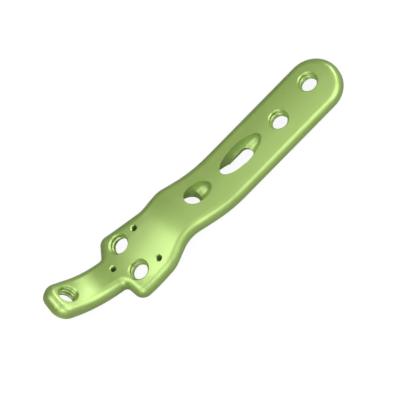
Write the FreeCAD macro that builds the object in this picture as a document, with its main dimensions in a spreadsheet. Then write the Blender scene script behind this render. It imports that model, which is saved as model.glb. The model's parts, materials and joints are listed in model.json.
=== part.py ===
"""Anatomical locking bone plate, milled from one piece of titanium alloy.

Frame: +X runs along the shaft to its round end, +Y across the plate, +Z up, away
from the bone. The origin is on the bone-side face, on the shaft's centre line,
below the middle of the compression slot. All sizes are in millimetres and degrees.
"""

import FreeCAD, Part
import math
import os
import Sketcher
from FreeCAD import Placement, Rotation, Vector

os.makedirs("parts", exist_ok=True)

# Driving sizes: name, value, meaning.
SIZES = [
    # section of the plate
    ("thickness", 4.1, "thickness on the centre line"),
    ("crown_radius", 72.0, "radius of the crowned outer face, across the plate"),
    ("rim_round", 2.4, "rounding of the outer rim"),
    ("bone_edge", 0.35, "chamfer of the bone-side rim"),
    # profile along the plate, as radii and angles of the bone-side face
    ("ramp_x", -10.0, "where the shaft starts to rise towards the neck"),
    ("ramp_radius", 55.0, "hollow bend at the foot of the ramp"),
    ("ramp_angle", 13.0, "slope of the ramp at its steepest"),
    ("crest_radius", 16.0, "humped bend of the neck"),
    ("descent_angle", 14.5, "slope of the head down to the valley"),
    ("descent_run", 9.4, "length of the straight slope on the head"),
    ("valley_radius", 31.5, "hollow bend between the head and the arm"),
    ("arm_radius", 23.0, "bend of the arm"),
    ("arm_bend", 47.0, "angle through which the arm bends up"),
    ("arm_lean", 39.0, "roll of the arm's bend towards +Y"),
    # outline in plan
    ("shaft_end_x", 36.1, "round end of the shaft"),
    ("shaft_half_width", 8.3, "half the width of the shaft"),
    ("taper_x", -12.0, "where the shaft's edges leave the straight"),
    ("waist_x", -27.3, "waist on the -Y edge"),
    ("waist_y", -5.95, ""),
    ("lobe_x", -35.4, "shoulder of the head's -Y lobe"),
    ("lobe_y", -8.4, ""),
    ("lobe_end_x", -48.4, "corner of the head's -Y lobe"),
    ("lobe_end_y", -7.35, ""),
    ("notch_x", -48.5, "notch between the -Y lobe and the arm"),
    ("bump_x", -23.6, "swelling on the +Y edge of the neck"),
    ("bump_y", 10.7, ""),
    ("dip_x", -29.9, "shallow dip behind it"),
    ("dip_y", 10.2, ""),
    ("corner_x", -43.8, "corner of the head on the +Y side"),
    ("corner_y", 15.1, ""),
    ("crook_x", -47.9, "notch between that corner and the arm"),
    ("arm_heading", 8.0, "angle of the arm from -X towards +Y, in plan"),
    ("arm_half_width", 5.5, "half the width of the arm"),
    ("arm_tip_reach", 5.9, "from the arm's hole to the end of the arm"),
    ("arm_tip_round", 4.3, "rounding of the arm's two end corners"),
    ("shaft_blend", 60.0, "blend where the shaft's edges leave the straight"),
    ("waist_blend", 14.0, "blend of the waist"),
    ("neck_blend", 8.0, "blend of the lobe's shoulder, the swelling and the dip"),
    ("corner_round", 3.0, "rounding of the head's two corners"),
    ("notch_round", 1.4, "rounding of the two notches"),
    # locking holes: threaded, with a short countersunk mouth
    ("lock_bore_radius", 2.7, "wall of a locking hole"),
    ("lock_mouth_radius", 3.1, "mouth of a locking hole"),
    ("lock_lip_depth", 0.45, "depth of the countersunk mouth"),
    ("end_hole_x", 27.4, "locking hole at the round end"),
    ("end_hole_y", 1.25, ""),
    ("second_hole_x", 14.1, "second locking hole"),
    ("second_hole_y", -0.5, ""),
    ("lobe_hole_x", -43.1, "locking hole in the -Y lobe"),
    ("lobe_hole_y", -1.35, ""),
    ("corner_hole_x", -41.4, "locking hole beside the +Y corner"),
    ("corner_hole_y", 8.75, ""),
    ("arm_hole_x", -61.7, "locking hole in the arm"),
    ("arm_hole_y", 6.4, ""),
    # wire holes: plain, with a small chamfer
    ("wire_bore_radius", 0.8, "wall of a wire hole"),
    ("wire_mouth_radius", 1.1, "mouth of a wire hole"),
    ("wire_lip_depth", 0.3, "depth of its chamfer"),
    ("neck_wire_x", -35.4, "wire hole on the +Y side of the head"),
    ("neck_wire_y", 8.1, ""),
    ("lobe_wire_x", -37.1, "wire hole in the -Y lobe"),
    ("lobe_wire_y", -3.95, ""),
    ("crook_wire_x", -47.6, "wire hole at the root of the arm"),
    ("crook_wire_y", 4.65, ""),
    # compression slot: a hollow running out towards +X, an oblique bore towards -X
    ("slot_y", 0.4, "its middle, across the plate"),
    ("slot_heading", 0.5, "its turn from -X towards +Y"),
    ("slot_hollow_x", -1.2, "where the hollow starts, at its deepest"),
    ("slot_hollow_length", 8.8, "from there to its nose"),
    ("slot_hollow_half_width", 3.3, ""),
    ("slot_hollow_depth", 3.9, ""),
    ("slot_bore_x", -0.95, "where the oblique bore's axis meets the outer face"),
    ("slot_bore_radius", 3.1, ""),
    ("slot_bore_slope", 27.0, "its slope below the outer face"),
    ("slot_through_half_width", 2.02, "half the width of the narrow through slot"),
    ("slot_through_start", -6.2, "that slot's two ends"),
    ("slot_through_end", 3.15, ""),
    # short compression hole on the ramp, made the same way
    ("short_y", 1.35, "its oblique bore, across the plate"),
    ("short_heading", 8.0, ""),
    ("short_hollow_x", -16.1, ""),
    ("short_hollow_length", 4.3, ""),
    ("short_hollow_half_width", 2.9, ""),
    ("short_hollow_depth", 3.2, ""),
    ("short_bore_x", -16.8, ""),
    ("short_bore_radius", 2.95, ""),
    ("short_bore_slope", 50.0, ""),
]

# Sizes that follow from the driving ones: corners of the profile and outline.
DERIVED = [
    ("spine_start_x", "shaft_end_x + 4"),
    ("blank_half_width", "corner_y + 5"),
    ("ramp_end_x", "ramp_x - ramp_radius * sin(ramp_angle)"),
    ("ramp_end_z", "ramp_radius * (1 - cos(ramp_angle))"),
    ("crest_x", "ramp_end_x - crest_radius * sin(ramp_angle)"),
    ("crest_centre_z", "ramp_end_z - crest_radius * cos(ramp_angle)"),
    ("crest_end_x", "crest_x - crest_radius * sin(descent_angle)"),
    ("crest_end_z", "crest_centre_z + crest_radius * cos(descent_angle)"),
    ("descent_end_x", "crest_end_x - descent_run * cos(descent_angle)"),
    ("descent_end_z", "crest_end_z - descent_run * sin(descent_angle)"),
    ("valley_x", "descent_end_x - valley_radius * sin(descent_angle)"),
    ("valley_centre_z", "descent_end_z + valley_radius * cos(descent_angle)"),
    ("valley_z", "valley_centre_z - valley_radius"),
    ("arm_up", "arm_radius * (1 - cos(arm_bend))"),
    ("arm_straight", "arm_tip_reach + arm_half_width + 8"),
    ("arm_edge", "arm_half_width / cos(arm_heading)"),
    ("arm_slope", "tan(arm_heading)"),
    ("notch_y", "arm_hole_y - arm_edge - (notch_x - arm_hole_x) * arm_slope"),
    ("crook_y", "arm_hole_y + arm_edge - (crook_x - arm_hole_x) * arm_slope"),
    ("arm_far_x", "arm_hole_x - 3 * arm_tip_reach"),
    ("arm_far_low", "arm_hole_y - arm_edge - (arm_far_x - arm_hole_x) * arm_slope"),
    ("arm_far_high", "arm_hole_y + arm_edge - (arm_far_x - arm_hole_x) * arm_slope"),
    ("shaft_low", "-shaft_half_width"),
    ("slot_low", "slot_y - slot_through_half_width"),
    ("slot_high", "slot_y + slot_through_half_width"),
    ("slot_start_x", "slot_through_start + slot_through_half_width"),
    ("slot_end_x", "slot_through_end - slot_through_half_width"),
    ("hole_reach", "2 * thickness"),
    ("hole_depth", "-hole_reach"),
    ("lock_lip", "-lock_lip_depth"),
    ("wire_lip", "-wire_lip_depth"),
    ("lock_flare_radius", "3 * lock_mouth_radius - 2 * lock_bore_radius"),
    ("lock_flare_z", "2 * lock_lip_depth"),
    ("wire_flare_radius", "3 * wire_mouth_radius - 2 * wire_bore_radius"),
    ("wire_flare_z", "2 * wire_lip_depth"),
    ("shaft_round_x", "shaft_end_x - shaft_half_width"),
    ("centre", "0"),
    ("blank_low", "-blank_half_width"),
    ("crown_centre_z", "thickness - crown_radius"),
    ("crown_edge_z", "crown_centre_z + sqrt(crown_radius ^ 2 - blank_half_width ^ 2)"),
    ("arm_out_x", "-arm_radius * sin(arm_bend)"),
    ("arm_end_x", "arm_out_x - arm_straight * cos(arm_bend)"),
    ("prism_height", "40 * thickness"),
    ("arm_end_up", "arm_up + arm_straight * sin(arm_bend)"),
]


def make_sheet(doc):
    """The spreadsheet of driving and derived sizes, one alias per row."""
    sheet = doc.addObject("Spreadsheet::Sheet", "sizes")
    rows = [(name, str(value), note) for name, value, note in SIZES]
    rows += [(name, "=" + formula, "follows from the sizes above") for name, formula in DERIVED]
    for row, (name, text, note) in enumerate(rows, start=1):
        sheet.set(f"A{row}", name)
        sheet.set(f"B{row}", text)
        sheet.set(f"C{row}", note)
        sheet.setAlias(f"B{row}", name)
    doc.recompute()
    return sheet


def size(sheet, name: str) -> float:
    return float(sheet.get(name))


def pin(sketch, sheet, geometry: int, point: int, x: str, y: str) -> None:
    """Hold one point of a sketch at two named coordinates of the sheet."""
    for kind, name in (("DistanceX", x), ("DistanceY", y)):
        index = sketch.addConstraint(
            Sketcher.Constraint(kind, -1, 1, geometry, point, size(sheet, name))
        )
        sketch.setExpression(f"Constraints[{index}]", f"sizes.{name}")


def draw_line(sketch, sheet, start: tuple, end: tuple) -> int:
    """A line between two named points."""
    ends = [Vector(size(sheet, x), size(sheet, y), 0) for x, y in (start, end)]
    line = sketch.addGeometry(Part.LineSegment(*ends))
    pin(sketch, sheet, line, 1, *start)
    pin(sketch, sheet, line, 2, *end)
    return line


def draw_arc(sketch, sheet, centre: tuple, start: tuple, end: tuple) -> int:
    """An arc, counter-clockwise from one named point to another, about a third."""
    middle, first, last = (
        Vector(size(sheet, x), size(sheet, y), 0) for x, y in (centre, start, end)
    )
    circle = Part.Circle(middle, Vector(0, 0, 1), first.distanceToPoint(middle))
    arc = sketch.addGeometry(
        Part.ArcOfCircle(circle, circle.parameter(first), circle.parameter(last))
    )
    pin(sketch, sheet, arc, 3, *centre)
    pin(sketch, sheet, arc, 1, *start)
    index = sketch.addConstraint(
        Sketcher.Constraint("DistanceX", -1, 1, arc, 2, size(sheet, end[0]))
    )
    sketch.setExpression(f"Constraints[{index}]", f"sizes.{end[0]}")
    return arc


def make_blank(doc, sheet):
    """The wide blank: one section, crowned outside, swept along the plate's side profile.

    The profile runs in the XZ plane from the shaft's end to the valley, then in a
    plane leaned towards +Y, in which the arm bends up.
    """
    section = doc.addObject("Sketcher::SketchObject", "blank_section")
    section.Placement = Placement(
        Vector(size(sheet, "spine_start_x"), 0, 0), Rotation(Vector(1, 1, 1), 120)
    )
    section.setExpression("Placement.Base.x", "sizes.spine_start_x")
    low_edge = ("blank_low", "centre"), ("blank_low", "crown_edge_z")
    high_edge = ("blank_half_width", "crown_edge_z"), ("blank_half_width", "centre")
    draw_line(section, sheet, *low_edge)
    draw_arc(section, sheet, ("centre", "crown_centre_z"), high_edge[0], low_edge[1])
    draw_line(section, sheet, *high_edge)
    draw_line(section, sheet, high_edge[1], low_edge[0])

    profile = doc.addObject("Sketcher::SketchObject", "side_profile")
    profile.Placement = Placement(Vector(), Rotation(Vector(1, 0, 0), 90))
    start = ("spine_start_x", "centre")
    foot = ("ramp_x", "centre")
    ramp_end = ("ramp_end_x", "ramp_end_z")
    crest_end = ("crest_end_x", "crest_end_z")
    descent_end = ("descent_end_x", "descent_end_z")
    valley = ("valley_x", "valley_z")
    draw_line(profile, sheet, start, foot)
    draw_arc(profile, sheet, ("ramp_x", "ramp_radius"), ramp_end, foot)
    draw_arc(profile, sheet, ("crest_x", "crest_centre_z"), ramp_end, crest_end)
    draw_line(profile, sheet, crest_end, descent_end)
    draw_arc(profile, sheet, ("valley_x", "valley_centre_z"), valley, descent_end)

    bend = doc.addObject("Sketcher::SketchObject", "arm_profile")
    lean = 90 - size(sheet, "arm_lean")
    foot_of_arm = Vector(size(sheet, "valley_x"), 0, size(sheet, "valley_z"))
    bend.Placement = Placement(foot_of_arm, Rotation(Vector(1, 0, 0), lean))
    bend.setExpression("Placement.Base.x", "sizes.valley_x")
    bend.setExpression("Placement.Base.z", "sizes.valley_z")
    bend.setExpression("Placement.Rotation.Angle", "90 - sizes.arm_lean")
    draw_arc(bend, sheet, ("centre", "arm_radius"), ("arm_out_x", "arm_up"), ("centre", "centre"))
    draw_line(bend, sheet, ("arm_out_x", "arm_up"), ("arm_end_x", "arm_end_up"))

    spine = doc.addObject("Part::Compound", "spine")
    spine.Links = [profile, bend]
    doc.recompute()
    blank = doc.addObject("Part::Sweep", "blank")
    blank.Sections = [section]
    edges = [f"Edge{n + 1}" for n in range(len(spine.Shape.Edges))]
    blank.Spine = (spine, edges)
    blank.Solid = True
    blank.Frenet = False
    doc.recompute()
    return blank


def vertical_edges(shape, sheet, corners: list) -> list:
    """Names of the upright edges that stand over the named corners."""
    names = []
    for x, y in corners:
        spot = Vector(size(sheet, x), size(sheet, y), 0)
        for index, edge in enumerate(shape.Edges, start=1):
            ends = [vertex.Point for vertex in edge.Vertexes]
            if len(ends) == 2 and all(
                Vector(end.x, end.y, 0).distanceToPoint(spot) < 1e-4 for end in ends
            ):
                names.append(f"Edge{index}")
    return names


def round_edges(body, name: str, base, edges: list, radius: str):
    """A fillet with a named radius on the given edges."""
    fillet = body.newObject("PartDesign::Fillet", name)
    fillet.Base = (base, edges)
    fillet.setExpression("Radius", f"sizes.{radius}")
    body.Document.recompute()
    return fillet


def make_outline(doc, sheet):
    """The outline in plan, as an upright prism taller than the plate."""
    body = doc.addObject("PartDesign::Body", "outline")
    sketch = body.newObject("Sketcher::SketchObject", "plan")
    plane = [f for f in body.Origin.OriginFeatures if f.Role == "XY_Plane"][0]
    sketch.AttachmentSupport = [(plane, "")]
    sketch.MapMode = "FlatFace"
    corners = [
        ("shaft_round_x", "shaft_low"), ("taper_x", "shaft_low"), ("waist_x", "waist_y"),
        ("lobe_x", "lobe_y"), ("lobe_end_x", "lobe_end_y"), ("notch_x", "notch_y"),
        ("arm_far_x", "arm_far_low"), ("arm_far_x", "arm_far_high"),
        ("crook_x", "crook_y"), ("corner_x", "corner_y"), ("dip_x", "dip_y"),
        ("bump_x", "bump_y"), ("taper_x", "shaft_half_width"),
        ("shaft_round_x", "shaft_half_width"),
    ]
    for start, end in zip(corners, corners[1:]):
        draw_line(sketch, sheet, start, end)
    draw_arc(sketch, sheet, ("shaft_round_x", "centre"), corners[0], corners[-1])
    prism = body.newObject("PartDesign::Pad", "outline_prism")
    prism.Profile = sketch
    prism.Midplane = True
    prism.setExpression("Length", "sizes.prism_height")
    doc.recompute()
    blends = [
        ("shaft_blend", [corners[1], corners[12]]),
        ("waist_blend", [corners[2]]),
        ("neck_blend", [corners[3], corners[10], corners[11]]),
        ("corner_round", [corners[4], corners[9]]),
        ("notch_round", [corners[5], corners[8]]),
    ]
    last = prism
    for radius, places in blends:
        edges = vertical_edges(last.Shape, sheet, places)
        last = round_edges(body, radius + "s", last, edges, radius)
    return body


def seat(blank, x: float, y: float) -> Placement:
    """A frame on the blank's outer face above (x, y): its Z leaves the face squarely."""
    ray = Part.makeLine(Vector(x, y, -200), Vector(x, y, 200))
    hit = max((v.Point for v in blank.Shape.common(ray).Vertexes), key=lambda p: p.z)
    face = min(blank.Shape.Faces, key=lambda f: f.distToShape(Part.Vertex(hit))[0])
    normal = face.normalAt(*face.Surface.parameter(hit))
    if normal.z < 0:
        normal = -normal
    side = normal.cross(Vector(1, 0, 0)).normalize()
    return Placement(hit, Rotation(side.cross(normal), side, normal))


def cut_tip(doc, sheet, plate, hole: Placement):
    """End the arm squarely to its own face, a set reach beyond its hole."""
    normal = hole.Rotation.multVec(Vector(0, 0, 1))
    heading = Rotation(Vector(0, 0, 1), -size(sheet, "arm_heading")).multVec(Vector(-1, 0, 0))
    side = normal.cross(heading).normalize()
    axes = Rotation(side.cross(normal), side, normal)
    box = doc.addObject("Part::Box", "beyond_tip")
    for name in ("Length", "Width", "Height"):
        box.setExpression(name, "sizes.prism_height")
    half = size(sheet, "prism_height") / 2
    corner = axes.multVec(Vector(size(sheet, "arm_tip_reach"), -half, -half))
    box.Placement = Placement(hole.Base + corner, axes)
    cut = doc.addObject("Part::Cut", "plate_with_square_tip")
    cut.Base = plate
    cut.Tool = box
    doc.recompute()
    return cut


def middle(edge) -> Vector:
    return edge.valueAt((edge.FirstParameter + edge.LastParameter) / 2)


def edges_by_face(shape, skin) -> dict:
    """Edge names by place: "outer" and "bone" rims, and "walls" between them.

    The skin is the blank's own surface: an edge that lies on it, with a side wall
    at one hand, belongs to a rim. An edge off the skin stands in the side wall.
    """
    places = {"outer": [], "bone": [], "walls": []}
    on_skin = [skin.distToShape(Part.Vertex(middle(e)))[0] < 1e-3 for e in shape.Edges]
    standing = [edge for edge, flat in zip(shape.Edges, on_skin) if not flat]
    for index, (edge, flat) in enumerate(zip(shape.Edges, on_skin), start=1):
        if not flat:
            places["walls"].append(f"Edge{index}")
            continue
        sides = shape.ancestorsOfType(edge, Part.Face)
        is_wall = [any(e.isSame(s) for e in face.Edges for s in standing) for face in sides]
        if is_wall.count(True) != 1:
            continue
        face = sides[is_wall.index(False)]
        normal = face.normalAt(*face.Surface.parameter(middle(edge)))
        places["outer" if normal.z > 0 else "bone"].append(f"Edge{index}")
    return places


def make_plate(doc, rough, blank):
    """The plate's body: the rough form with its tip and rims rounded."""
    body = doc.addObject("PartDesign::Body", "plate")
    body.Label = "bone_plate"
    body.BaseFeature = rough
    doc.recompute()
    skin = Part.Shell(blank.Shape.Faces)
    square = body.Tip.Shape
    corners = []
    for name in edges_by_face(square, skin)["walls"]:
        faces = square.ancestorsOfType(square.getElement(name), Part.Face)
        if any(abs(face.normalAt(0, 0).z) > 0.1 for face in faces):
            corners.append(name)
    last = round_edges(body, "tip_corners", body.Tip, corners, "arm_tip_round")
    last = round_edges(body, "outer_rim", last, edges_by_face(last.Shape, skin)["outer"], "rim_round")
    chamfer = body.newObject("PartDesign::Chamfer", "bone_rim")
    chamfer.Base = (last, edges_by_face(last.Shape, skin)["bone"])
    chamfer.setExpression("Size", "sizes.bone_edge")
    doc.recompute()
    return body


def drill(body, sheet, blank, name: str, kind: str) -> None:
    """A round hole square to the outer face: a countersunk mouth, then a plain wall."""
    place = seat(blank, size(sheet, name + "_x"), size(sheet, name + "_y"))
    sketch = body.newObject("Sketcher::SketchObject", name + "_half")
    sketch.Placement = Placement(
        place.Base, place.Rotation.multiply(Rotation(Vector(1, 0, 0), 90))
    )
    bore, flare = kind + "_bore_radius", kind + "_flare_radius"
    outline = [
        ("centre", "hole_reach"), ("centre", "hole_depth"), (bore, "hole_depth"),
        (bore, kind + "_lip"), (flare, kind + "_flare_z"), (flare, "hole_reach"),
    ]
    for start, end in zip(outline, outline[1:] + outline[:1]):
        draw_line(sketch, sheet, start, end)
    groove = body.newObject("PartDesign::Groove", name)
    groove.Profile = sketch
    groove.ReferenceAxis = (sketch, ["V_Axis"])
    groove.Angle = 360
    body.Document.recompute()


def cut_oblong(body, sheet, blank, name: str) -> None:
    """A compression hole's hollow, deepest at its flat end, and its oblique bore.

    Both lie on one line across the outer face, turned by the hole's own heading.
    """
    heading = size(sheet, name + "_heading")
    bore_x, hollow_x = size(sheet, name + "_bore_x"), size(sheet, name + "_hollow_x")
    bore_y = size(sheet, name + "_y")
    hollow_y = bore_y - (hollow_x - bore_x) * math.tan(math.radians(heading))

    hollow = body.newObject("PartDesign::SubtractiveEllipsoid", name + "_hollow")
    hollow.setExpression("Radius1", f"sizes.{name}_hollow_depth")
    hollow.setExpression("Radius2", f"sizes.{name}_hollow_half_width")
    hollow.setExpression("Radius3", f"sizes.{name}_hollow_length")
    hollow.Angle3 = 180
    place = seat(blank, hollow_x, hollow_y)
    turn = Rotation(Vector(0, 0, 1), -90 - heading)
    hollow.Placement = Placement(place.Base, place.Rotation.multiply(turn))

    bore = body.newObject("PartDesign::SubtractiveCylinder", name + "_bore")
    bore.setExpression("Radius", f"sizes.{name}_bore_radius")
    bore.setExpression("Height", "sizes.prism_height")
    place = seat(blank, bore_x, bore_y)
    turn = Rotation(Vector(0, 0, 1), -heading)
    lean = Rotation(Vector(0, 1, 0), 90 - size(sheet, name + "_bore_slope"))
    axis = place.Rotation.multiply(turn).multiply(lean)
    half = Vector(0, 0, -size(sheet, "prism_height") / 2)
    bore.Placement = Placement(place.Base + axis.multVec(half), axis)
    body.Document.recompute()


def cut_through_slot(body, sheet) -> None:
    """The narrow slot through the floor of the compression slot."""
    sketch = body.newObject("Sketcher::SketchObject", "slot_plan")
    low, high = "slot_low", "slot_high"
    start, end = "slot_start_x", "slot_end_x"
    draw_line(sketch, sheet, (start, low), (end, low))
    draw_arc(sketch, sheet, (end, "slot_y"), (end, low), (end, high))
    draw_line(sketch, sheet, (end, high), (start, high))
    draw_arc(sketch, sheet, (start, "slot_y"), (start, high), (start, low))
    pocket = body.newObject("PartDesign::Pocket", "through_slot")
    pocket.Profile = sketch
    pocket.Midplane = True
    pocket.setExpression("Length", "sizes.prism_height")
    body.Document.recompute()


LOCKING_HOLES = ["end_hole", "second_hole", "lobe_hole", "corner_hole", "arm_hole"]
WIRE_HOLES = ["neck_wire", "lobe_wire", "crook_wire"]


def main() -> None:
    doc = FreeCAD.newDocument("bone_plate")
    sheet = make_sheet(doc)
    blank = make_blank(doc, sheet)
    long_arm = doc.addObject("Part::Common", "plate_with_long_arm")
    long_arm.Base = blank
    long_arm.Tool = make_outline(doc, sheet)
    doc.recompute()
    arm_hole = seat(blank, size(sheet, "arm_hole_x"), size(sheet, "arm_hole_y"))
    rough = cut_tip(doc, sheet, long_arm, arm_hole)
    plate = make_plate(doc, rough, blank)
    for name in LOCKING_HOLES:
        drill(plate, sheet, blank, name, "lock")
    for name in WIRE_HOLES:
        drill(plate, sheet, blank, name, "wire")
    cut_oblong(plate, sheet, blank, "slot")
    cut_through_slot(plate, sheet)
    cut_oblong(plate, sheet, blank, "short")
    for part in doc.Objects:
        if {"Invalid", "Error"} & set(part.State):
            raise RuntimeError(f"{part.Name} did not build: {part.State}")
    shape = plate.Shape
    if shape.isNull() or not shape.isValid() or len(shape.Solids) != 1:
        raise RuntimeError("the plate is not one valid solid")
    print("faces", len(shape.Faces), "volume mm3", round(shape.Volume, 1))
    shape.exportStep(f"parts/{plate.Label}.step")


main()
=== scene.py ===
"""Anodised titanium bone plate: its finish, the threads in its locking holes and a plain studio.

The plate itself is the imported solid. This file adds what is too fine for the solid, the
ridges of the threads, and gives every surface its finish. All sizes are in metres.
"""
import json
import logging
import math
from dataclasses import dataclass, field
from enum import Enum
from typing import Any

import bpy
from mathutils import Matrix, Vector


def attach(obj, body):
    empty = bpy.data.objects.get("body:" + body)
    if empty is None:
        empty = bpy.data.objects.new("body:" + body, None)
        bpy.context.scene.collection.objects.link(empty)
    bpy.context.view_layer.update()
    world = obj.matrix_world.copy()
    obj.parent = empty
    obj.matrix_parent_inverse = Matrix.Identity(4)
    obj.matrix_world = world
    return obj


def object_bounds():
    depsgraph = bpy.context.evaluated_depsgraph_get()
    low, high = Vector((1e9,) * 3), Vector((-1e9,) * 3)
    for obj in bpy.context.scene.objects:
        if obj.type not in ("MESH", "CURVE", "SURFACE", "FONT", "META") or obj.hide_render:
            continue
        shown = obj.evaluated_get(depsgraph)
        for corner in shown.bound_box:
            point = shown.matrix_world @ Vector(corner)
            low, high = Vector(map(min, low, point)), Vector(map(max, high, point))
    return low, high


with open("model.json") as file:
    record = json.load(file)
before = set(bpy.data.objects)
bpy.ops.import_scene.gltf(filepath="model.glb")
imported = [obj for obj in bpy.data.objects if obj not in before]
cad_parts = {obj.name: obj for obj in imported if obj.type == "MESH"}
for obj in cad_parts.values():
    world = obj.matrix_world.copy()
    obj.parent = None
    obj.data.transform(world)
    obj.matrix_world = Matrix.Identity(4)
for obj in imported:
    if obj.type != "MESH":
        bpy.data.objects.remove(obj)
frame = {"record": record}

LOG = logging.getLogger("bone_plate")
CAD_BOX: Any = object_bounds()
MM = 0.001


# Colours and nodes

def srgb_channel(value: float) -> float:
    """Turn one sRGB channel, from 0 to 1, to linear light."""
    return value / 12.92 if value <= 0.04045 else ((value + 0.055) / 1.055) ** 2.4


def linear(hex_colour: str) -> tuple[float, float, float, float]:
    """Turn an sRGB hex colour to linear RGBA.

    Args:
        hex_colour: six hex digits, with or without a leading hash.

    Returns:
        Red, green, blue and alpha in linear light.
    """
    digits = hex_colour.lstrip("#")
    red, green, blue = (srgb_channel(int(digits[i:i + 2], 16) / 255) for i in (0, 2, 4))
    return red, green, blue, 1.0


def add_node(tree: Any, kind: str, settings: dict[str, Any] | None = None,
             inputs: dict[Any, Any] | None = None) -> Any:
    """Add a node with its settings, values and links.

    Args:
        tree: the node tree that gets the node.
        kind: the node's type name.
        settings: the node's own attributes.
        inputs: values or output sockets for its inputs, by name or index.

    Returns:
        The new node.
    """
    node = tree.nodes.new(kind)
    for name, value in (settings or {}).items():
        setattr(node, name, value)
    for key, value in (inputs or {}).items():
        if isinstance(value, bpy.types.NodeSocket):
            tree.links.new(value, node.inputs[key])
        else:
            node.inputs[key].default_value = value
    return node


def new_tree(name: str) -> tuple[Any, Any, Any]:
    """Make a material with an empty tree.

    Args:
        name: the material's name.

    Returns:
        The material, its tree and its output node.
    """
    material = bpy.data.materials.new(name)
    material.use_nodes = True
    tree = material.node_tree
    tree.nodes.clear()
    return material, tree, add_node(tree, "ShaderNodeOutputMaterial")


def page_share(tree: Any, mirrored: float) -> Any:
    """Say how much of the white page each kind of ray sees.

    Args:
        tree: the floor's or the world's node tree.
        mirrored: the page's share for rays that a shiny surface sends on.

    Returns:
        A socket: 1 for the camera and through glass, the given share for gloss, else 0.
    """
    path = add_node(tree, "ShaderNodeLightPath")
    direct = add_node(tree, "ShaderNodeMath", {"operation": "MAXIMUM"}, {
        0: path.outputs["Is Camera Ray"], 1: path.outputs["Is Transmission Ray"]})
    gloss = add_node(tree, "ShaderNodeMath", {"operation": "MULTIPLY"}, {
        0: path.outputs["Is Glossy Ray"], 1: mirrored})
    both = add_node(tree, "ShaderNodeMath", {"operation": "MAXIMUM"}, {
        0: direct.outputs["Value"], 1: gloss.outputs["Value"]})
    return both.outputs["Value"]


# Finishes

@dataclass(frozen=True)
class AnodisedTitanium:
    """Titanium alloy, bead-blasted and anodised green.

    The oxide film gives the metal its colour. The film is a little thicker in some
    places than in others, so the green drifts slowly, and the blasting leaves fine
    dimples that spread the shine.
    """

    name: str = "anodised_titanium_green"
    green: str = "#92AE5A"
    deep_green: str = "#8DA955"
    roughness: float = 0.36
    metallic: float = 0.5           # the blasted film scatters the other half of the light
    film: float = 0.8               # the clear oxide film, which shines white
    film_roughness: float = 0.36
    shine_spread: float = 0.02      # how far the roughness strays from its mean
    drift_size: float = 9 * MM      # how far apart the film's thicker places lie
    dimple_size: float = 0.35 * MM  # real blast dimples are 0.05 mm, too fine to show
    dimple_depth: float = 0.002 * MM

    def make(self) -> Any:
        """Build the material.

        Returns:
            The finished material.
        """
        material, tree, output = new_tree(self.name)
        place = add_node(tree, "ShaderNodeTexCoord")
        drift = add_node(tree, "ShaderNodeTexNoise", {"noise_dimensions": "3D"}, {
            "Vector": place.outputs["Object"], "Scale": 1 / self.drift_size,
            "Detail": 2.0, "Roughness": 0.45})
        film = add_node(tree, "ShaderNodeValToRGB", inputs={"Fac": drift.outputs["Fac"]})
        film.color_ramp.elements[0].position = 0.35
        film.color_ramp.elements[0].color = linear(self.deep_green)
        film.color_ramp.elements[1].position = 0.65
        film.color_ramp.elements[1].color = linear(self.green)
        dimples = add_node(tree, "ShaderNodeTexNoise", {"noise_dimensions": "3D"}, {
            "Vector": place.outputs["Object"], "Scale": 1 / self.dimple_size,
            "Detail": 3.0, "Roughness": 0.6})
        shine = add_node(tree, "ShaderNodeMapRange", inputs={
            "Value": dimples.outputs["Fac"], "From Min": 0.3, "From Max": 0.7,
            "To Min": self.roughness - self.shine_spread,
            "To Max": self.roughness + self.shine_spread})
        bump = add_node(tree, "ShaderNodeBump", inputs={
            "Height": dimples.outputs["Fac"], "Distance": self.dimple_depth, "Strength": 1.0})
        surface = add_node(tree, "ShaderNodeBsdfPrincipled", inputs={
            "Base Color": film.outputs["Color"], "Roughness": shine.outputs["Result"],
            "Normal": bump.outputs["Normal"], "Metallic": self.metallic,
            "Coat Weight": self.film, "Coat Roughness": self.film_roughness})
        tree.links.new(surface.outputs["BSDF"], output.inputs["Surface"])
        return material


@dataclass(frozen=True)
class StudioSweep:
    """Matt paper that reads as a white page with a soft shadow.

    The eye sees a white page. The metal sees it too, but at part of its level, because
    the photograph's side walls stay dark. The light that bounces up is the paper's own.
    """

    name: str = "white_paper"
    pale: str = "#747472"
    fibre_size: float = 0.4 * MM    # real fibres are finer, too fine to show
    fibre_spread: float = 0.03      # how far a fibre's level strays from the paper's
    shadow_share: float = 0.08
    mirrored_share: float = 0.08

    def make(self) -> Any:
        """Build the material.

        Returns:
            The finished material.
        """
        material, tree, output = new_tree(self.name)
        place = add_node(tree, "ShaderNodeTexCoord")
        fibre = add_node(tree, "ShaderNodeTexNoise", inputs={
            "Vector": place.outputs["Object"], "Scale": 1 / self.fibre_size, "Detail": 2.0})
        level = linear(self.pale)[0]
        tint = add_node(tree, "ShaderNodeMapRange", inputs={
            "Value": fibre.outputs["Fac"], "To Min": level * (1 - self.fibre_spread),
            "To Max": level * (1 + self.fibre_spread)})
        paper = add_node(tree, "ShaderNodeBsdfDiffuse", inputs={"Color": tint.outputs["Result"]})
        white = add_node(tree, "ShaderNodeBsdfDiffuse", inputs={"Color": (1.0, 1.0, 1.0, 1.0)})
        page = add_node(tree, "ShaderNodeEmission", inputs={
            "Color": (1.0, 1.0, 1.0, 1.0), "Strength": 1.0})
        bright = add_node(tree, "ShaderNodeMixShader", inputs={
            0: 1 - self.shadow_share, 1: white.outputs["BSDF"], 2: page.outputs["Emission"]})
        choice = add_node(tree, "ShaderNodeMixShader", inputs={
            0: page_share(tree, self.mirrored_share), 1: paper.outputs["BSDF"],
            2: bright.outputs["Shader"]})
        tree.links.new(choice.outputs["Shader"], output.inputs["Surface"])
        return material


# The plate's pieces

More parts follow.
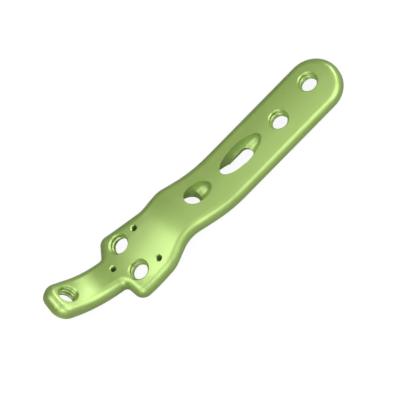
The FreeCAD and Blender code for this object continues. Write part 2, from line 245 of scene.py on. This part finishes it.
class Lead(Enum):
    """The hand of a thread, as the sign of its turn on the way up."""

    RIGHT = 1
    LEFT = -1


@dataclass
class ThreadRidge:
    """The ridge of one locking hole's thread, a helix that stands in from the wall.

    The hole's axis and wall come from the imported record.
    """

    mount: dict[str, Any]
    metal: Any
    pitch: float = 1.15 * MM
    height: float = 0.34 * MM
    root: float = 0.84 * MM
    crest: float = 0.12 * MM
    sink: float = 0.02 * MM         # how far the ridge's root lies in the wall
    mouth_gap: float = 0.42 * MM    # plain wall between the mouth and the first turn
    exit_gap: float = 0.42 * MM     # and between the last turn and the bone side
    start_angle: float = 143.0      # degrees, where a turn passes the wall's foot
    fade: float = 0.07              # the share of the run over which each end grows
    end_scale: float = 0.05         # the ridge's size at its very ends
    lead: Lead = Lead.RIGHT
    steps: int = 72
    smooth_angle: float = 32.0      # degrees

    def tree(self) -> Any:
        """Build the node tree that sweeps the ridge along its helix.

        Returns:
            The geometry node group, with named inputs for its sizes.
        """
        group = bpy.data.node_groups.new("thread_ridge", "GeometryNodeTree")
        face = group.interface
        face.new_socket("Geometry", in_out="INPUT", socket_type="NodeSocketGeometry")
        for name in ("Wall Radius", "Length", "Turns", "Height", "Root", "Crest", "Sink",
                     "Fade", "End Scale"):
            face.new_socket(name, in_out="INPUT", socket_type="NodeSocketFloat")
        face.new_socket("Steps", in_out="INPUT", socket_type="NodeSocketInt")
        face.new_socket("Right Hand", in_out="INPUT", socket_type="NodeSocketBool")
        face.new_socket("Metal", in_out="INPUT", socket_type="NodeSocketMaterial")
        face.new_socket("Geometry", in_out="OUTPUT", socket_type="NodeSocketGeometry")
        given = add_node(group, "NodeGroupInput").outputs
        result = add_node(group, "NodeGroupOutput")

        def value(operation: str, first: Any, second: Any) -> Any:
            """Join two numbers or sockets by one operation."""
            return add_node(group, "ShaderNodeMath", {"operation": operation},
                            {0: first, 1: second}).outputs["Value"]

        helix_radius = value("ADD", given["Wall Radius"], given["Sink"])
        # the node's spiral turns clockwise on the way up unless it is reversed
        helix = add_node(group, "GeometryNodeCurveSpiral", inputs={
            "Resolution": given["Steps"], "Rotations": given["Turns"],
            "Start Radius": helix_radius, "End Radius": helix_radius,
            "Height": given["Length"], "Reverse": given["Right Hand"]})
        upright = add_node(group, "GeometryNodeSetCurveNormal", {"mode": "Z_UP"},
                           {"Curve": helix.outputs["Curve"]})
        # the ridge grows from almost nothing at its first point and shrinks again at its last
        along = add_node(group, "GeometryNodeSplineParameter").outputs["Factor"]
        nearest_end = value("MINIMUM", along, value("SUBTRACT", 1.0, along))
        growth = add_node(group, "ShaderNodeMapRange", {"interpolation_type": "SMOOTHSTEP"}, {
            "Value": nearest_end, "From Min": 0.0, "From Max": given["Fade"],
            "To Min": given["End Scale"], "To Max": 1.0})

        half_root = value("MULTIPLY", given["Root"], 0.5)
        half_crest = value("MULTIPLY", given["Crest"], 0.5)
        # reversing the spiral turns its profile over, so the crest's side turns with it
        side = value("SUBTRACT", 1.0, value("MULTIPLY", given["Right Hand"], 2.0))
        tall = value("MULTIPLY", value("ADD", given["Height"], given["Sink"]), side)
        corners = []
        for across, out in ((half_root, 0.0), (half_crest, tall),
                            (value("MULTIPLY", half_crest, -1.0), tall),
                            (value("MULTIPLY", half_root, -1.0), 0.0)):
            corners.append(add_node(group, "ShaderNodeCombineXYZ", inputs={
                "X": out, "Y": across}).outputs["Vector"])
        profile = add_node(group, "GeometryNodeCurvePrimitiveQuadrilateral",
                           {"mode": "POINTS"},
                           {f"Point {i + 1}": corner for i, corner in enumerate(corners)})
        swept = add_node(group, "GeometryNodeCurveToMesh", inputs={
            "Curve": upright.outputs["Curve"], "Profile Curve": profile.outputs["Curve"],
            "Scale": growth.outputs["Result"], "Fill Caps": True})
        solid = add_node(group, "GeometryNodeRealizeInstances", inputs={
            "Geometry": swept.outputs["Mesh"]})
        dressed = add_node(group, "GeometryNodeSetMaterial", inputs={
            "Geometry": solid.outputs["Geometry"], "Material": given["Metal"]})
        group.links.new(dressed.outputs["Geometry"], result.inputs["Geometry"])
        return group

    def make(self, group: Any) -> Any:
        """Bake the ridge as a plain mesh in its hole.

        Args:
            group: the node tree from tree().

        Returns:
            The ridge's object, at the origin.
        """
        length = self.mount["dims"]["length_mm"] * MM
        run = length - self.mouth_gap - self.exit_gap
        sizes = {"Wall Radius": self.mount["dims"]["r_mm"] * MM, "Length": run,
                 "Turns": run / self.pitch, "Height": self.height,
                 "Root": self.root, "Crest": self.crest, "Sink": self.sink,
                 "Fade": self.fade, "End Scale": self.end_scale,
                 "Steps": self.steps, "Metal": self.metal,
                 "Right Hand": self.lead is Lead.RIGHT}
        name = f"{self.mount['name']}_thread"
        holder = bpy.data.objects.new(name + "_holder", bpy.data.meshes.new(name + "_empty"))
        bpy.context.scene.collection.objects.link(holder)
        modifier = holder.modifiers.new("thread", "NODES")
        modifier.node_group = group
        for item in group.interface.items_tree:
            if item.in_out == "INPUT" and item.name in sizes:
                modifier[item.identifier] = sizes[item.name]
        bpy.context.view_layer.update()
        ready = holder.evaluated_get(bpy.context.evaluated_depsgraph_get())
        mesh = bpy.data.meshes.new_from_object(ready)
        bpy.data.objects.remove(holder)

        axis = Vector(self.mount["axis"]).normalized()
        turn = Vector((0, 0, 1)).rotation_difference(axis).to_matrix().to_4x4()
        gap_turns = self.lead.value * self.exit_gap / self.pitch
        phase = math.radians(self.start_angle) + math.tau * gap_turns
        foot = Vector(self.mount["pos_m"]) - axis * (length / 2 - self.exit_gap)
        mesh.transform(Matrix.Translation(foot) @ turn @ Matrix.Rotation(phase, 4, "Z"))
        mesh.name = name
        for polygon in mesh.polygons:
            polygon.use_smooth = True
        mesh.set_sharp_from_angle(angle=math.radians(self.smooth_angle))
        ridge = bpy.data.objects.new(name, mesh)
        bpy.context.scene.collection.objects.link(ridge)
        return ridge


@dataclass
class BonePlate:
    """The plate: its solid imported from model.glb, dressed, with a thread in each locking hole.
    """

    finish: AnodisedTitanium = field(default_factory=AnodisedTitanium)
    node: str = "bone_plate"
    body: str = "root"
    # the rim's chamfer cuts the corner hole's wall, so its thread ends sooner
    exit_gaps: dict[str, float] = field(default_factory=lambda: {"corner_hole": 1.0 * MM})

    def dress(self, metal: Any) -> Any:
        """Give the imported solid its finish.

        Args:
            metal: the plate's material.

        Returns:
            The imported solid's object.
        """
        solid = bpy.data.objects[self.node]
        solid.data.materials.clear()
        solid.data.materials.append(metal)
        return solid

    def make(self) -> list[Any]:
        """Dress the plate and add its threads.

        Returns:
            The plate's objects.
        """
        metal = self.finish.make()
        pieces = [self.dress(metal)]
        group: Any = None
        for mount in frame["record"]["mounts"]:
            if mount["kind"] != "threaded_hole":
                continue
            ridge = ThreadRidge(mount, metal)
            ridge.exit_gap = self.exit_gaps.get(mount["name"], ridge.exit_gap)
            group = group or ridge.tree()
            piece = ridge.make(group)
            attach(piece, self.body)
            pieces.append(piece)
        return pieces


# The studio

@dataclass(frozen=True)
class Softbox:
    """One square soft lamp. Its direction, from the plate, is in the camera's axes."""

    name: str
    direction: tuple[float, float, float]
    distance: float
    size: float
    watts: float


@dataclass
class Studio:
    """Camera, lamps and floor.

    The boxes stand where the photograph's highlights ask for them. Directions are in
    the camera's own axes: right, up and back.
    """

    right: Vector = field(default_factory=lambda: Vector((0.697, -0.671, -0.253)))
    up: Vector = field(default_factory=lambda: Vector((0.709, 0.5905, 0.386)))
    pixels: int = 400
    pixels_per_metre: float = 3600.0
    origin_pixel: tuple[float, float] = (245.37, 159.81)
    distance: float = 0.6
    reach: float = 1.5              # half the floor's side
    softboxes: tuple[Softbox, ...] = (
        Softbox("right_box", (0.68, 0.18, 0.71), 0.35, 0.32, 1.16),
        Softbox("left_box", (-0.66, 0.07, 0.75), 0.35, 0.27, 0.64),
        Softbox("left_spot", (-0.70, 0.20, 0.70), 0.50, 0.15, 0.16),
        Softbox("top_box", (0.20, 0.93, 0.30), 0.90, 0.30, 2.30),
        Softbox("back_box", (-0.32, 0.62, 0.71), 0.92, 0.33, 0.26),
        Softbox("high_box", (-0.10, 0.60, 0.80), 0.60, 0.30, 0.24),
        Softbox("front_box", (-0.05, -0.75, 0.66), 0.42, 0.50, 0.85),
        Softbox("low_box", (-0.12, -0.50, 0.86), 0.40, 0.22, 0.44),
        Softbox("near_box", (0.10, -0.10, 0.99), 0.50, 0.25, 0.12),
        Softbox("far_box", (0.50, 0.76, 0.41), 0.90, 0.35, 1.50))

    def axes(self) -> tuple[Vector, Vector, Vector]:
        """Return the camera's right, up and back directions, at right angles."""
        right = self.right.normalized()
        back = right.cross(self.up).normalized()
        return right, back.cross(right).normalized(), back

    def to_world(self, direction: tuple[float, float, float]) -> Vector:
        """Turn a direction in camera axes to the frame's axes."""
        right, up, back = self.axes()
        return (right * direction[0] + up * direction[1] + back * direction[2]).normalized()

    def centre(self) -> Vector:
        """Return the point at the middle of the picture, in the plane of the origin."""
        right, up, _ = self.axes()
        half = self.pixels / 2
        across = (half - self.origin_pixel[0]) / self.pixels_per_metre
        down = (half - self.origin_pixel[1]) / self.pixels_per_metre
        return right * across - up * down

    def camera(self) -> Any:
        """Make the camera at the photograph's angle and scale."""
        lens = bpy.data.cameras.new("camera")
        lens.type = "ORTHO"
        lens.ortho_scale = self.pixels / self.pixels_per_metre
        lens.clip_start, lens.clip_end = 0.01, 10.0
        camera = bpy.data.objects.new("camera", lens)
        right, up, back = self.axes()
        turn = Matrix((right, up, back)).transposed().to_4x4()
        camera.matrix_world = Matrix.Translation(self.centre() + back * self.distance) @ turn
        bpy.context.scene.collection.objects.link(camera)
        bpy.context.scene.camera = camera
        return camera

    def hang(self, box: Softbox) -> Any:
        """Hang one softbox so that it faces the plate.

        Args:
            box: the softbox.

        Returns:
            The lamp's object.
        """
        light = bpy.data.lights.new(box.name, "AREA")
        light.shape, light.size, light.energy = "SQUARE", box.size, box.watts
        lamp = bpy.data.objects.new(box.name, light)
        toward = self.to_world(box.direction)
        lamp.location = self.centre() + toward * box.distance
        lamp.rotation_euler = toward.to_track_quat("Z", "Y").to_euler()
        lamp.visible_camera = False
        bpy.context.scene.collection.objects.link(lamp)
        return lamp

    def floor(self) -> Any:
        """Lay a pale floor under the plate's lowest point."""
        low = float(CAD_BOX[0][2])
        mesh = bpy.data.meshes.new("floor")
        corners = [(x * self.reach, y * self.reach, low)
                   for x, y in ((-1, -1), (1, -1), (1, 1), (-1, 1))]
        mesh.from_pydata(corners, [], [(0, 1, 2, 3)])
        mesh.materials.append(StudioSweep().make())
        floor = bpy.data.objects.new("floor", mesh)
        bpy.context.scene.collection.objects.link(floor)
        return floor

    def world(self, room: str = "#424446", mirrored_share: float = 0.02) -> None:
        """Give the room a dim grey light, and the camera a white page.

        Args:
            room: the colour of the room, which lights the plate from all sides.
            mirrored_share: the page's share in what the metal mirrors.
        """
        world = bpy.data.worlds.new("room")
        bpy.context.scene.world = world
        world.use_nodes = True
        tree = world.node_tree
        tree.nodes.clear()
        output = add_node(tree, "ShaderNodeOutputWorld")
        walls = add_node(tree, "ShaderNodeBackground", inputs={
            "Color": linear(room), "Strength": 1.0})
        page = add_node(tree, "ShaderNodeBackground", inputs={
            "Color": (1.0, 1.0, 1.0, 1.0), "Strength": 1.0})
        choice = add_node(tree, "ShaderNodeMixShader", inputs={
            0: page_share(tree, mirrored_share), 1: walls.outputs["Background"],
            2: page.outputs["Background"]})
        tree.links.new(choice.outputs["Shader"], output.inputs["Surface"])

    def make(self) -> None:
        """Set up the whole studio."""
        self.camera()
        self.floor()
        self.world()
        for box in self.softboxes:
            self.hang(box)
        bpy.context.scene.view_settings.view_transform = "Standard"


def main() -> None:
    """Build the studio and the plate, and report each piece."""
    logging.basicConfig(level=logging.INFO, format="%(name)s: %(message)s")
    Studio().make()
    for piece in BonePlate().make():
        LOG.info("%s: %d faces", piece.name, len(piece.data.polygons))


if __name__ == "__main__":
    main()
